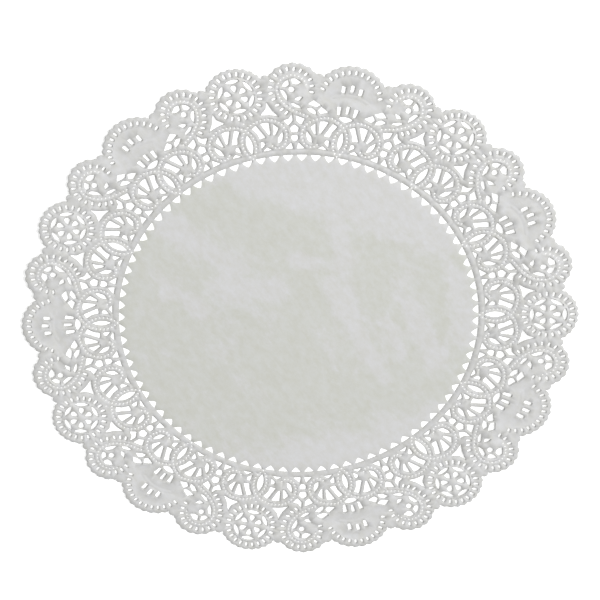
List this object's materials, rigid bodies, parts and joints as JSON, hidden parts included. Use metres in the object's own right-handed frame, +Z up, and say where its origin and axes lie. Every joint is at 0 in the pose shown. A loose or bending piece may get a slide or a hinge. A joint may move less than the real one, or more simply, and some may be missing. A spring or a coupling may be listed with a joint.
{
  "type": "round paper lace doily",
  "caption": "Round flat sheet of embossed paper die-cut as lace: scalloped rim, interlaced rings, openwork border and a plain centre disc.",
  "frame": {"origin": "centre of the underside, on the surface that the sheet rests on", "axes": "+Z up out of the embossed face, +Y from the centre towards the middle of a rosette on the rim"},
  "size_m": [0.2528, 0.2538, 0.001],
  "materials": {
    "paper": "matt, lightly mottled"
  },
  "bodies": {
    "root": {"paper_doily": "paper"}
  },
  "joints": []
}
